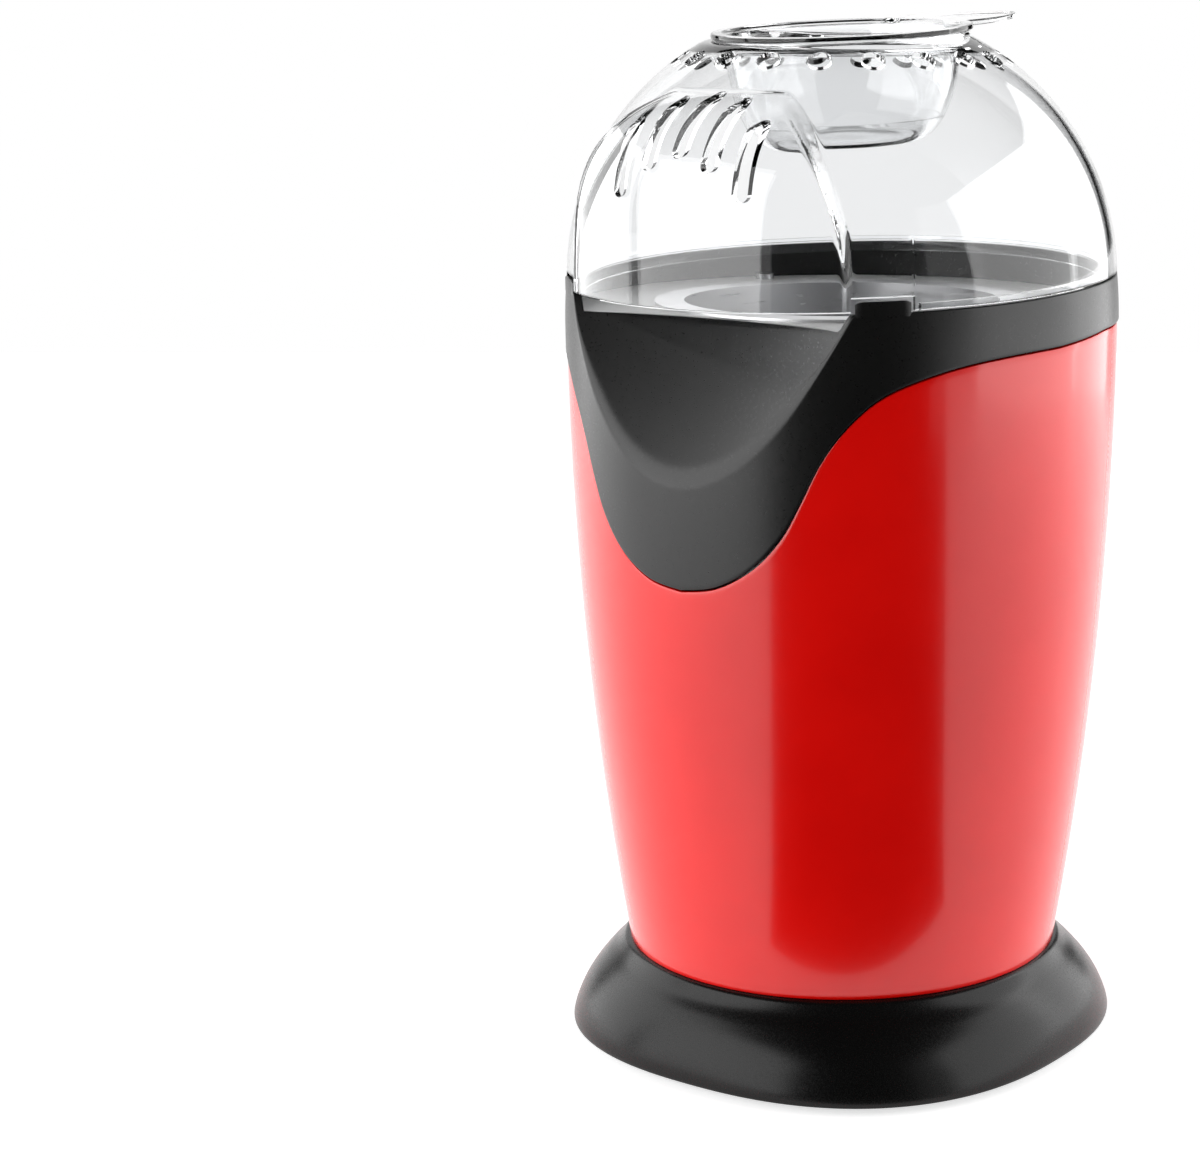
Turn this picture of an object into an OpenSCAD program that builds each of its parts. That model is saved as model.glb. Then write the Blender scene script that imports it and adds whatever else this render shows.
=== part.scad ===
// Hot-air popcorn maker: flared base, barrel body, collar with a pouring
// scoop, clear hood with a raised visor, and a measuring cup that closes it.
// Millimetres. +Z is up, -Y is the front, and the feet stand on z = 0.

/* [Body] */
// Largest radius of the red barrel, reached just under the collar
barrel_r = 80.7; // [80:0.1:81]
// Height at which the barrel is widest
barrel_top_z = 215; // [213:1:217]
// Radius of the long arc that shapes the barrel's side
barrel_arc = 1121; // [1080:1:1180]
// Wall of the barrel
barrel_wall = 2.2; // [2:0.1:2.4]
// Height of the joint between base and barrel
joint_z = 28; // [27.5:0.5:28]

/* [Base] */
// Half width of the base across its flats
base_half = 78.5; // [77.5:0.5:79.5]
// How much further the rounded corners reach, as a ratio
base_corner = 1.057; // [1.04:0.001:1.06]
// Clearance under the base's edge
base_lift = 2; // [1.5:0.5:2]

/* [Collar and scoop] */
// Largest radius of the collar
collar_r = 81.2; // [81.1:0.1:81.4]
// Wall of the collar and scoop
collar_wall = 2.3; // [2.2:0.1:2.4]
// Height of the rim on the axis
rim_z = 228.9; // [228.5:0.1:229.2]
// Fall of the rim towards the front, in degrees
rim_tilt = 2.5; // [2:0.1:3]
// Height of the lowest point of the scoop's lip
scoop_z = 180; // [179:0.5:182]
// Slope of the scoop, in degrees from level
scoop_slope = 60.5; // [60:0.5:61]
// Width of the mouth at the rim, measured each side of the middle
scoop_half = 47.8; // [46:0.1:48.5]
// Width of each hood catch, in degrees round the rim
catch_arc = 11; // [9:1:12]

/* [Hood] */
// Wall of the clear hood
hood_wall = 2; // [1.8:0.1:2.2]
// Number of round vents in the ring at the top
vent_count = 20; // [16:1:20]
// Radius of each round vent
vent_r = 3.4; // [3:0.1:3.5]
// Number of steam slots in the visor is five: width of each
slot_w = 4.5; // [4:0.1:5]

/* [Measuring cup] */
// Outer radius of the cup's ring
cup_ring_r = 38; // [37.5:0.1:38.5]
// Depth of the bowl
cup_depth = 31; // [28:1:32]
// Tilt of the cup towards the front, in degrees
cup_tilt = 4; // [3.5:0.5:4]
// Reach of the handle from the cup's axis
handle_reach = 69; // [64:1:70]

/* [Chamber and fan] */
// Inner radius of the popping chamber
chamber_r = 46.4; // [45:0.1:46.6]
// Height of the chamber's floor
chamber_z = 128; // [127.5:0.5:132]
// Number of fan blades
blade_count = 7; // [5:1:9]

/* [Hidden] */
$fn = 96;

black = [0.03, 0.03, 0.032];
red = [0.86, 0.05, 0.04];
clear = [0.92, 0.95, 0.97, 0.35];
pale = [0.86, 0.86, 0.85];
steel = [0.62, 0.63, 0.65];
copper = [0.72, 0.42, 0.22];

// ---- curves ----
function cr(a, b, c, d, t) = 0.5 * (2 * b + (c - a) * t
  + (2 * a - 5 * b + 4 * c - d) * t * t + (3 * b - a - 3 * c + d) * t * t * t);
// smooth curve through the points p, n steps between each pair
function spline(p, n) = [for (i = [0 : len(p) - 2]) for (k = [0 : n - 1])
    cr(p[max(i - 1, 0)], p[i], p[i + 1], p[min(i + 2, len(p) - 1)], k / n),
  p[len(p) - 1]];

// barrel and collar radii at a height
function barrel_at(z) = barrel_r - (barrel_arc - sqrt(pow(barrel_arc, 2) - pow(z - barrel_top_z, 2)));
function collar_at(z) = z < barrel_top_z ? barrel_at(z) + collar_r - barrel_r
  : collar_r - (150 - sqrt(150 * 150 - pow(z - barrel_top_z, 2)));

// plan of the base: a circle that grows rounded corners as q goes over 1
function plan_n(q) = 1 / (0.5 - ln(q) / ln(2));
function plan_r(a, n) = 1 / pow(pow(abs(cos(a)), n) + pow(abs(sin(a)), n), 1 / n);
function plan(h, q, m) = [for (i = [0 : m - 1]) let (a = 360 * i / m)
  h * plan_r(a, plan_n(q)) * [cos(a), sin(a)]];

// flare of the base, corner radius against height
flare = spline([[66.2, joint_z], [69.0, 24.4], [72.6, 20.9], [76.6, 16.4], [79.8, 11.6], [82.0, 6.8], [82.9, 3.6], [82.7, base_lift]], 2);
function flare_q(z) = 1 + (base_corner - 1) * pow((joint_z - z) / (joint_z - base_lift), 0.8);
flare_k = base_half * base_corner / 83;
function flare_ring(p, d, m) = let (q = flare_q(min(p[1], joint_z)), h = (p[0] - d) * (p[1] > joint_z - 0.1 ? 1 : flare_k) / q)
  [for (c = plan(h, max(q, 1.0001), m)) [c[0], c[1], p[1]]];

// closed band: the rings run up the outside and back down the inside
module band(rings) {
  m = len(rings[0]);
  n = len(rings);
  polyhedron(
    points = [for (r = rings) for (p = r) p],
    faces = [for (j = [0 : n - 1]) for (i = [0 : m - 1]) [j * m + i, j * m + (i + 1) % m, ((j + 1) % n) * m + (i + 1) % m, ((j + 1) % n) * m + i]],
    convexity = 8);
}

// ring of material between two radii and two heights
module ring(r0, r1, z0, z1) {
  rotate_extrude() translate([r0, z0]) square([r1 - r0, z1 - z0]);
}
// copies set round the axis at the angles listed
module round_at(angles, r) {
  for (a = angles) rotate([0, 0, a]) translate([r, 0, 0]) children();
}
// everything above the sloping rim plane, moved up by d
module above_rim(d) {
  translate([0, 0, rim_z + d]) rotate([rim_tilt, 0, 0]) translate([-120, -120, 0]) cube([240, 240, 120]);
}
// everything above the cup's seat plane, moved up by d
seat_z = 298;
module above_seat(d) {
  translate([0, 0, seat_z + d]) rotate([cup_tilt, 0, 0]) translate([-120, -120, 0]) cube([240, 240, 60]);
}
// wedge round the axis between two angles measured from the front
module wedge(a0, a1, z0, z1) {
  translate([0, 0, z0]) linear_extrude(z1 - z0)
    polygon([[0, 0], [120 * sin(a0), -120 * cos(a0)], [120 * sin((a0 + a1) / 2), -120 * cos((a0 + a1) / 2)], [120 * sin(a1), -120 * cos(a1)]]);
}

// edge between collar and barrel, seen from the front
tongue = spline([[0, 148], [11.5, 150], [22.5, 156.2], [30.5, 165], [35.5, 174.5], [40.5, 185.5], [46, 194.5], [53.5, 203], [62, 208.3], [73, 212.6], [90, 216.2]], 5);
back_edge = spline([[0, 218], [40, 217.6], [66, 216.8], [90, 216.2]], 4);
module above_line(line, y0, y1, d) {
  pts = concat([for (p = line) [p[0], p[1] + d]], [[90, 300], [0, 300]]);
  translate([0, y1, 0]) rotate([90, 0, 0]) linear_extrude(y1 - y0) {
    polygon(pts);
    mirror([1, 0]) polygon(pts);
  }
}
module above_tongue(d) {
  above_line(tongue, -100, 0.01, d);
  above_line(back_edge, 0, 100, d);
}

// scoop: a straight trough with a parabolic section, d deeper and wider
scoop_y = -80.4;
module trough(d, reach = 62) {
  a = scoop_slope;
  sag = 18.2 * cos(a);
  half = scoop_half + 14;
  m = 36;
  translate([0, scoop_y, scoop_z]) rotate([90 + a, 0, 0]) translate([0, 0, -reach]) linear_extrude(reach + 40)
    polygon(concat(
      [for (i = [0 : m]) let (x = -half + 2 * half * i / m) [x + (d > 0 ? d * sign(x) * min(1, abs(x) / 20) * 0.35 : 0), sag * pow(x / scoop_half, 2) - d]],
      [[half + d, 90], [-half - d, 90]]));
}

// ---- base ----
module rubber_feet() color(black) {
  for (a = [45, 135, 225, 315]) rotate([0, 0, a]) translate([61, 0, 0]) {
    cylinder(r1 = 6, r2 = 6.8, h = 1);
    translate([0, 0, 1]) cylinder(r = 6.8, h = 2.2);
  }
}

cover_z = 3.2;
cover_t = 2.4;
boss_angles = [20, 160, 200, 340];
module bottom_cover() color(black) difference() {
  translate([0, 0, cover_z]) linear_extrude(cover_t) polygon(plan(75, base_corner, 96));
  // air intake slots with a rib down the middle
  for (i = [-5 : 5]) let (x = i * 6, l = sqrt(36 * 36 - x * x)) {
    for (s = [-1, 1]) translate([x - 1.6, s > 0 ? 2.5 : -l, 0]) cube([3.2, l - 2.5, 12]);
  }
  round_at(boss_angles, 58) translate([0, 0, -1]) cylinder(r = 1.9, h = 12);
}

module base_skirt() color(black) difference() {
  union() {
    band(concat(
      [for (p = flare) flare_ring(p, 0, 72)],
      [for (i = [len(flare) - 1 : -1 : 0]) flare_ring(flare[i], flare[i][1] > 24 ? 4.6 : 3.1, 72)]));
    ring(50, 65.6, joint_z - 2.4, joint_z);
    ring(60.2, 62.3, joint_z - 0.2, joint_z + 3.4);
    round_at(boss_angles, 58) translate([0, 0, cover_z + cover_t]) cylinder(r = 4.2, h = joint_z - 2 - cover_z - cover_t);
  }
  round_at(boss_angles, 58) cylinder(r = 1.6, h = 20);
  round_at([60, 180, 300], 54) translate([0, 0, 20]) cylinder(r = 2, h = 20);
  // hole for the cord gland, at the rear
  translate([0, 50, 14]) rotate([-90, 0, 0]) cylinder(r = 5.8, h = 40);
}

module base_screws() color(steel) round_at(boss_angles, 58) {
  translate([0, 0, 1]) difference() {
    cylinder(r = 3.2, h = 2.2);
    translate([0, 0, -0.1]) { translate([-2.2, -0.4, 0]) cube([4.4, 0.8, 1.1]); translate([-0.4, -2.2, 0]) cube([0.8, 4.4, 1.1]); }
  }
  translate([0, 0, cover_z]) cylinder(r = 1.5, h = 14);
}

// ---- body ----
switch_z = 62;
pad_y = 72.4;
barrel_out = [for (i = [0 : 27]) let (z = joint_z + i * (219 - joint_z) / 27) [barrel_at(z), z]];
module body_shell() color(red) difference() {
  union() {
    rotate_extrude() polygon(concat(barrel_out, [[0, 219], [0, joint_z]]));
    translate([-14, 55, switch_z - 11]) cube([28, pad_y - 55, 22]);
  }
  rotate_extrude() polygon(concat([for (p = barrel_out) [p[0] - barrel_wall, p[1] + (p[1] > 218 ? 1 : p[1] < joint_z + 0.1 ? -1 : 0)]], [[0, 220], [0, joint_z - 1]]));
  translate([-9.5, 50, switch_z - 7.6]) cube([19, 40, 15.2]);
  above_tongue(-0.5);
}

collar_out = [for (i = [0 : 24]) let (z = 144 + i * 3.75) [collar_at(z), z]];
module collar_solid(d, z0, z1) {
  rotate_extrude() polygon(concat([[0, z0]], [[collar_at(z0) - d, z0]], [for (p = collar_out) if (p[1] > z0 + 0.5 && p[1] < z1 - 0.5) [p[0] - d, p[1]]], [[collar_at(z1) - d, z1], [0, z1]]));
}
module collar_chute() color(black) difference() {
  union() {
    // outer wall, down to the curved edge, with the catches on its rim
    intersection() {
      difference() {
        collar_solid(0, 144, 236);
        collar_solid(collar_wall, 143, 237);
      }
      above_tongue(0);
    }
    // ledge for the deck
    ring(75.4, 78.2, 216, 219);
    ring(75.4, 79.4, 217.7, 219);
    // sloping floor of the scoop
    intersection() {
      difference() { trough(collar_wall, 46.5); trough(0, 60); }
      collar_solid(0.6, 150, 236);
      translate([-70, -100, 150]) cube([140, 60, 90]);
      difference() {
        translate([-100, -100, 150]) cube([200, 200, 86]);
        translate([-100, -63, 221]) cube([200, 200, 30]);
      }
    }
  }
  trough(0, 62);
  difference() {
    above_rim(0);
    for (s = [-1, 1]) wedge(s * 36.8, s * (36.8 + catch_arc), 200, 240);
  }
  above_rim(3.3);
}

// ---- top deck, chamber and heater ----
deck_z = 219;
ear_angles = [0, 90, 180];
module top_deck() color(pale) difference() {
  union() {
    ring(51, 78.3, deck_z, deck_z + 2);
    round_at(ear_angles, 61) translate([0, 0, 213]) difference() { cylinder(r = 4.4, h = deck_z - 213 + 0.5); }
  }
  trough(collar_wall + 0.5, 62);
  round_at(ear_angles, 61) translate([0, 0, 212]) cylinder(r = 1.6, h = 7);
  round_at([35, 145], 71) translate([0, 0, 210]) cylinder(r = 1.9, h = 20);
}
module deck_screws() color(steel) round_at([35, 145], 71) {
  translate([0, 0, deck_z + 2]) cylinder(r = 3, h = 1.6);
  translate([0, 0, deck_z - 6]) cylinder(r = 1.5, h = 8.1);
}

module popping_chamber() color([0.8, 0.8, 0.81]) difference() {
  union() {
    ring(chamber_r, chamber_r + 0.8, chamber_z, deck_z + 2);
    ring(chamber_r, 55, deck_z + 2, deck_z + 2.8);
    translate([0, 0, chamber_z]) cylinder(r = chamber_r + 0.4, h = 0.8);
    translate([0, 0, chamber_z + 0.4]) cylinder(r1 = 14, r2 = 4, h = 6);
  }
  // slanting air louvres low in the wall
  for (i = [0 : 15]) rotate([0, 0, i * 22.5]) translate([chamber_r + 0.4, 0, chamber_z + 13]) rotate([35, 0, 0]) cube([4, 1.8, 15], center = true);
  translate([0, 0, chamber_z - 0.1]) cylinder(r1 = 12.6, r2 = 3, h = 5.6);
}
module chamber_gasket() color([0.75, 0.3, 0.2]) ring(chamber_r + 0.9, 50.9, deck_z, deck_z + 2);

shield_z0 = 98;
module heat_shield() color(steel) difference() {
  union() {
    ring(55.2, 56, shield_z0, 213);
    round_at(ear_angles, 0) translate([55.5, -5, 212]) cube([10, 10, 1]);
  }
  round_at(ear_angles, 61) translate([0, 0, 205]) cylinder(r = 2, h = 20);
}
module shield_screws() color(steel) round_at(ear_angles, 61) {
  translate([0, 0, 209.8]) cylinder(r = 3.2, h = 2.2);
  translate([0, 0, 211.9]) cylinder(r = 1.5, h = 6.6);
}

module coil_rings(t) {
  for (z = [105, 111, 117, 123]) for (r = [27, 35]) translate([0, 0, z]) rotate_extrude() translate([r, 0]) circle(r = t, $fn = 24);
}
module mica_boards() color([0.75, 0.68, 0.52]) difference() {
  union() {
    translate([-50, -0.5, shield_z0]) cube([100, 1, 28.5]);
    translate([-0.5, -50, shield_z0]) cube([1, 100, 28.5]);
  }
  coil_rings(1.5);
}
module heater_coil() color([0.55, 0.52, 0.5]) coil_rings(1.1);
module thermal_fuse() color(pale) {
  translate([8, 2.4, 108]) rotate([0, 90, 0]) cylinder(r = 1.7, h = 12, $fn = 32);
  translate([4, 2.4, 108]) rotate([0, 90, 0]) cylinder(r = 0.5, h = 4.1, $fn = 24);
  translate([19.9, 2.4, 108]) rotate([0, 90, 0]) cylinder(r = 0.5, h = 4.1, $fn = 24);
}
module thermostat() color(black) difference() {
  union() {
    translate([-12, 50, 142]) cube([24, 8.5, 16]);
    translate([0, 58.4, 150]) rotate([-90, 0, 0]) cylinder(r = 7.6, h = 5.4);
    for (s = [-1, 1]) translate([s * 4 - 1.5, 63.7, 147.6]) cube([3, 2.6, 0.8]);
  }
  translate([0, 0, 130]) cylinder(r = 56.1, h = 40);
}

// ---- fan and motor ----
post_angles = [60, 180, 300];
plate_z = 62;
module fan_housing() color([0.18, 0.18, 0.19]) difference() {
  union() {
    ring(44, 46.5, plate_z, shield_z0);
    ring(44, 58, shield_z0 - 2.5, shield_z0);
    translate([0, 0, plate_z]) cylinder(r = 22, h = 3);
    for (a = [0, 60, 120, 180, 240, 300]) rotate([0, 0, a]) translate([18, -2, plate_z]) cube([27, 4, 6]);
    round_at(post_angles, 54) translate([0, 0, joint_z]) cylinder(r = 3.7, h = shield_z0 - 1.3 - joint_z);
    for (a = post_angles) rotate([0, 0, a]) translate([45.5, -1, plate_z + 1]) cube([6, 2, 33.7]);
  }
  translate([0, 0, plate_z - 1]) cylinder(r = 5, h = 12);
  for (s = [-1, 1]) translate([s * 9, 0, plate_z - 1]) cylinder(r = 1.8, h = 12);
  round_at(post_angles, 54) translate([0, 0, joint_z - 1]) cylinder(r = 1.6, h = 16);
}
module housing_screws() color(steel) round_at(post_angles, 54) {
  translate([0, 0, joint_z - 4.8]) cylinder(r = 3.2, h = 2.4);
  translate([0, 0, joint_z - 2.5]) cylinder(r = 1.5, h = 15);
}

module fan_impeller() color([0.85, 0.85, 0.83]) difference() {
  union() {
    translate([0, 0, 71]) cylinder(r = 8, h = 14);
    intersection() {
      ring(6, 41, 72, 85);
      for (i = [0 : blade_count - 1]) rotate([0, 0, i * 360 / blade_count]) translate([7, 0, 78.5]) rotate([38, 0, 0]) translate([0, -0.8, -12]) cube([36, 1.6, 24]);
    }
  }
  translate([0, 0, 60]) cylinder(r = 1.52, h = 30);
}
module motor_shaft() color(steel) translate([0, 0, 22.6]) cylinder(r = 1.5, h = 62);
module armature() color([0.35, 0.36, 0.38]) difference() {
  translate([0, 0, 36.5]) cylinder(r = 12, h = 19);
  for (i = [0 : 4]) rotate([0, 0, i * 72]) translate([5.5, -1.2, 30]) cube([10, 2.4, 40]);
  cylinder(r = 1.52, h = 100);
}
module commutator() color(copper) difference() {
  translate([0, 0, 29.2]) cylinder(r = 4.6, h = 5.8);
  cylinder(r = 1.52, h = 100);
}
module motor_can() color(steel) difference() {
  translate([0, 0, 24]) cylinder(r = 18, h = plate_z - 24);
  translate([0, 0, 20]) cylinder(r = 17, h = plate_z - 21.2);
  translate([0, 0, 50]) cylinder(r = 3.05, h = 20);
  for (s = [-1, 1]) translate([s * 9, 0, 50]) cylinder(r = 1.55, h = 20);
  // cooling windows
  for (a = [0, 180]) rotate([0, 0, a + 45]) translate([10, -4, 28]) cube([12, 8, 4]);
}
module motor_magnets() color([0.2, 0.2, 0.22]) for (a = [0, 180]) rotate([0, 0, a]) intersection() {
  ring(13.2, 16.9, 35, 57);
  translate([0, -12, 30]) cube([20, 24, 30]);
}
module motor_end_cap() color([0.15, 0.15, 0.16]) difference() {
  translate([0, 0, 24]) cylinder(r = 16.9, h = 3);
  translate([0, 0, 20]) cylinder(r = 3.05, h = 20);
}
module motor_bushes() color([0.72, 0.58, 0.32]) {
  ring(1.56, 3, 24, 28);
  ring(1.56, 3, 57.6, 62);
}
module carbon_brushes() color([0.1, 0.1, 0.1]) for (s = [-1, 1]) translate([s * 8.4, 0, 31.6]) cube([6.6, 3.4, 4], center = true);
module motor_screws() color(steel) for (s = [-1, 1]) translate([s * 9, 0, 0]) {
  translate([0, 0, 65]) cylinder(r = 2.8, h = 2);
  translate([0, 0, 59.5]) cylinder(r = 1.45, h = 5.6);
}
module rectifier_board() color([0.1, 0.35, 0.15]) difference() {
  translate([0, 0, 20.4]) cylinder(r = 14, h = 1.6);
  cylinder(r = 3, h = 60);
}
module rectifier_diodes() color([0.05, 0.05, 0.05]) for (x = [-10, -6, 6, 10]) translate([x, -3, 18.8]) rotate([-90, 0, 0]) cylinder(r = 1.4, h = 6, $fn = 24);

// ---- switch and lead entry ----
module switch_housing() color(black) difference() {
  union() {
    translate([-9.3, 58, switch_z - 7.4]) cube([18.6, pad_y - 58 + 0.2, 14.8]);
    translate([-11, pad_y, switch_z - 9]) cube([22, 2, 18]);
  }
  translate([-8.3, 64, switch_z - 6.7]) cube([16.6, 20, 13.4]);
}
rocker_y = 69.2;
rocker_rest = 8;
module switch_rocker() color([0.09, 0.09, 0.09]) translate([0, rocker_y, switch_z]) rotate([-rocker_rest, 0, 0]) {
  rotate([90, 0, 90]) translate([0, 0, -7.9]) linear_extrude(15.8)
    polygon([[-3, -5.2], [4.6, -5.7], [5.9, -5.5], [5.2, 0], [5.9, 5.5], [4.6, 5.7], [-3, 5.2]]);
}
module switch_terminals() color([0.8, 0.65, 0.3]) for (s = [-1, 1]) translate([s * 5 - 2.4, 50.5, switch_z - 0.4]) cube([4.8, 7.5, 0.8]);

gland_z = 14;
module cord_gland() color(black) difference() {
  translate([0, 0, gland_z]) rotate([-90, 0, 0]) union() {
    translate([0, 0, 63]) cylinder(r = 7, h = 2.5);
    translate([0, 0, 65.4]) cylinder(r = 5.4, h = 14.1);
  }
  translate([0, 55, gland_z]) rotate([-90, 0, 0]) cylinder(r = 3.3, h = 40);
}
module cable_clamp() color([0.2, 0.2, 0.2]) difference() {
  translate([-10, 42, cover_z + cover_t]) cube([20, 7, 10.4]);
  translate([0, 30, gland_z]) rotate([-90, 0, 0]) cylinder(r = 3.4, h = 30);
  translate([-3.4, 30, gland_z]) cube([6.8, 30, 10]);
  for (s = [-1, 1]) translate([s * 7, 45.5, 0]) cylinder(r = 1.3, h = 30);
}
module clamp_screws() color(steel) for (s = [-1, 1]) translate([s * 7, 45.5, 0]) {
  translate([0, 0, 16]) cylinder(r = 2.4, h = 1.8);
  translate([0, 0, 7]) cylinder(r = 1.2, h = 9.1);
}
module terminal_block() color(pale) difference() {
  translate([-34, 30, cover_z + cover_t]) cube([18, 10, 9]);
  for (x = [-29.5, -20.5]) translate([x, 35, 8]) cylinder(r = 1.9, h = 12);
}

// wires inside the casing: straight runs with round corners
function wire_paths() = [
  [[-29.5, 35, 9], [-29.5, 35, 22], [-24, 38, 32], [-6, 47, 54], [-6, 49.2, 62]],
  [[-20.5, 35, 9], [-20.5, 35, 24], [-12, 40, 36], [6, 47, 56], [6, 49.2, 62]],
  [[26, 34, 8], [26, 34, 24], [22, 42, 34], [20, 58.5, 46], [20, 59.5, 140], [4, 67.9, 146]]
];
module internal_wires() color([0.15, 0.25, 0.6]) for (p = wire_paths()) for (i = [0 : len(p) - 2]) {
  v = p[i + 1] - p[i];
  l = norm(v);
  translate(p[i]) rotate([0, acos(v[2] / l), atan2(v[1], v[0])]) cylinder(r = 1.2, h = l, $fn = 20);
  if (i > 0) translate(p[i]) sphere(r = 1.35, $fn = 20);
}

// ---- hood ----
dome_arc = 77.8;
dome_z = 228;
function dome_at(z, d) = (80.5 - dome_arc) + sqrt(max(pow(dome_arc - d, 2) - pow(z - dome_z, 2), 0));
function visor_at(z, d) = (collar_r - d) * pow(max(1 - pow((z - 224) / (65 - d), 5), 0), 1 / 3);
module dome_solid(d) {
  // round side up to the flat land at the top
  rotate_extrude() polygon(concat([[0, 218], [80.5 - d, 218]],
    [for (i = [0 : 30]) let (z = dome_z + (69 - 2 * d) * sin(90 * i / 30)) [dome_at(z, d), z]], [[0, dome_z + 69 - 2 * d]]));
}
module visor_solid(d) {
  rotate_extrude() polygon(concat([[0, 218], [collar_r - d, 218]],
    [for (i = [0 : 26]) let (z = 224 + (63.6 - d) * sin(90 * i / 26)) [visor_at(z, d), z]], [[0, 224 + 63.6 - d]]));
}
// arch outline of the visor, seen from the front
module arch(d) {
  h = 61 - d;
  translate([0, -20, 0]) rotate([90, 0, 0]) linear_extrude(80) polygon(concat(
    [[scoop_half - d, 200]],
    [for (i = [0 : 24]) let (z = h * sin(90 * i / 24)) [(scoop_half - d) * sqrt(max(1 - pow(z / h, 2.6), 0)), 226 + z]],
    [for (i = [23 : -1 : 0]) let (z = h * sin(90 * i / 24)) [-(scoop_half - d) * sqrt(max(1 - pow(z / h, 2.6), 0)), 226 + z]],
    [[-(scoop_half - d), 200]]));
}
module slot(x, z0, z1) {
  translate([0, -40, 0]) rotate([90, 0, 0]) linear_extrude(60) {
    translate([x - slot_w / 2, z0 + slot_w / 2]) square([slot_w, z1 - z0 - slot_w]);
    translate([x, z0 + slot_w / 2]) circle(d = slot_w, $fn = 32);
    translate([x, z1 - slot_w / 2]) circle(d = slot_w, $fn = 32);
  }
}
vent_ring_r = 46.5;
module dome_hood() color(clear) difference() {
  union() {
    difference() {
      union() {
        dome_solid(0);
        intersection() { visor_solid(0); arch(0); }
      }
      dome_solid(hood_wall);
      intersection() { visor_solid(hood_wall); arch(hood_wall); }
      // everything under the rim plane
      difference() {
        translate([-120, -120, 200]) cube([240, 240, 60]);
        above_rim(0.35);
      }
    }
    // neck round the cup's opening
    ring(34.9, 37, 293, 303);
    // locating lip inside the collar
    difference() {
      ring(75.8, 78.6, 224, 235);
      // clear of the collar's wall
      difference() {
        ring(77.4, 90, 200, 240);
        above_rim(0.35);
      }
      difference() {
        translate([-120, -120, 200]) cube([240, 240, 60]);
        above_rim(-3);
      }
      above_rim(2);
      translate([-54, -100, 200]) cube([108, 60, 60]);
    }
  }
  translate([0, 0, 280]) cylinder(r = 34.9, h = 40);
  above_seat(0);
  for (i = [0 : vent_count - 1]) rotate([0, 0, (i + 0.5) * 360 / vent_count]) translate([vent_ring_r, 0, 291]) rotate([0, 35, 0]) cylinder(r = vent_r, h = 16, center = true, $fn = 32);
  slot(0, 266, 282);
  for (s = [-1, 1]) {
    slot(s * 10.2, 262.5, 280.5);
    slot(s * 20.4, 255, 275.5);
    // notch over each catch
    intersection() {
      wedge(s * 36.1, s * (37.5 + catch_arc), 200, 240);
      difference() { above_rim(-5); above_rim(4); }
      ring(78.2, 90, 200, 240);
    }
  }
}

// ---- measuring cup ----
// wall of the bowl: radius against depth under the ring
cup_wall = spline([[21.5, -cup_depth], [25.4, -cup_depth + 2.2], [29.4, -cup_depth + 7.4], [32.2, -cup_depth + 14.5], [33.8, -cup_depth + 23], [34.2, 0]], 4);
handle_a = 76; // bearing of the handle from +X
module measuring_cup() color(clear) translate([0, 0, seat_z + 0.3]) rotate([cup_tilt, 0, 0]) {
  rotate_extrude() polygon(concat(
    [[0, -cup_depth], [21.5, -cup_depth]], [for (i = [1 : len(cup_wall) - 1]) cup_wall[i]],
    [[cup_ring_r, 0], [cup_ring_r, 1.7], [34.6, 1.7]],
    [for (i = [len(cup_wall) - 1 : -1 : 0]) [cup_wall[i][0] - 1.7, cup_wall[i][1] + (i == len(cup_wall) - 1 ? 0.6 : 1.7)]],
    [[0, -cup_depth + 1.7]]));
  // leaf-shaped handle
  rotate([0, 0, handle_a]) difference() {
    translate([0, 0, 0.1]) linear_extrude(1.6) polygon(concat(
      [for (i = [0 : 16]) let (t = i / 16) [34.5 + (handle_reach - 34.5) * t, 17.5 * pow(1 - pow(t, 2.2), 0.75)]],
      [for (i = [15 : -1 : 0]) let (t = i / 16) [34.5 + (handle_reach - 34.5) * t, -17.5 * pow(1 - pow(t, 2.2), 0.75)]]));
    cylinder(r = 36, h = 10);
  }
}

rubber_feet();
bottom_cover();
base_skirt();
base_screws();
body_shell();
collar_chute();
top_deck();
deck_screws();
dome_hood();
measuring_cup();
popping_chamber();
chamber_gasket();
heat_shield();
shield_screws();
mica_boards();
heater_coil();
thermal_fuse();
thermostat();
fan_housing();
housing_screws();
fan_impeller();
motor_shaft();
armature();
commutator();
motor_can();
motor_magnets();
motor_end_cap();
motor_bushes();
carbon_brushes();
motor_screws();
rectifier_board();
rectifier_diodes();
switch_housing();
switch_rocker();
switch_terminals();
cord_gland();
cable_clamp();
clamp_screws();
terminal_block();
internal_wires();
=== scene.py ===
import bpy
import bmesh
import math
import numpy as np
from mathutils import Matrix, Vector


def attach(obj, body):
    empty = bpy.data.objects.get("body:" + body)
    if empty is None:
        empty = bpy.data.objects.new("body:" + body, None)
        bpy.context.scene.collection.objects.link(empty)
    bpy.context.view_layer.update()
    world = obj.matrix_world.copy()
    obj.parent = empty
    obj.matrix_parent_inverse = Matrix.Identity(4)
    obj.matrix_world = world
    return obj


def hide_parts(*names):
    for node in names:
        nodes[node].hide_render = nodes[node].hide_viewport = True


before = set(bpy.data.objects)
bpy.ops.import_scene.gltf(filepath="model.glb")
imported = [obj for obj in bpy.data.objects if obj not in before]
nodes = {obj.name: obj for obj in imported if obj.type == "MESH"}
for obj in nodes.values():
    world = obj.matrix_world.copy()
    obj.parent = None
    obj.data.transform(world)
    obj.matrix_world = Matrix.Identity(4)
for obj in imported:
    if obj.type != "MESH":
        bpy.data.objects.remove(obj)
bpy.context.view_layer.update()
MM = 0.001
scene = bpy.context.scene


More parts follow.
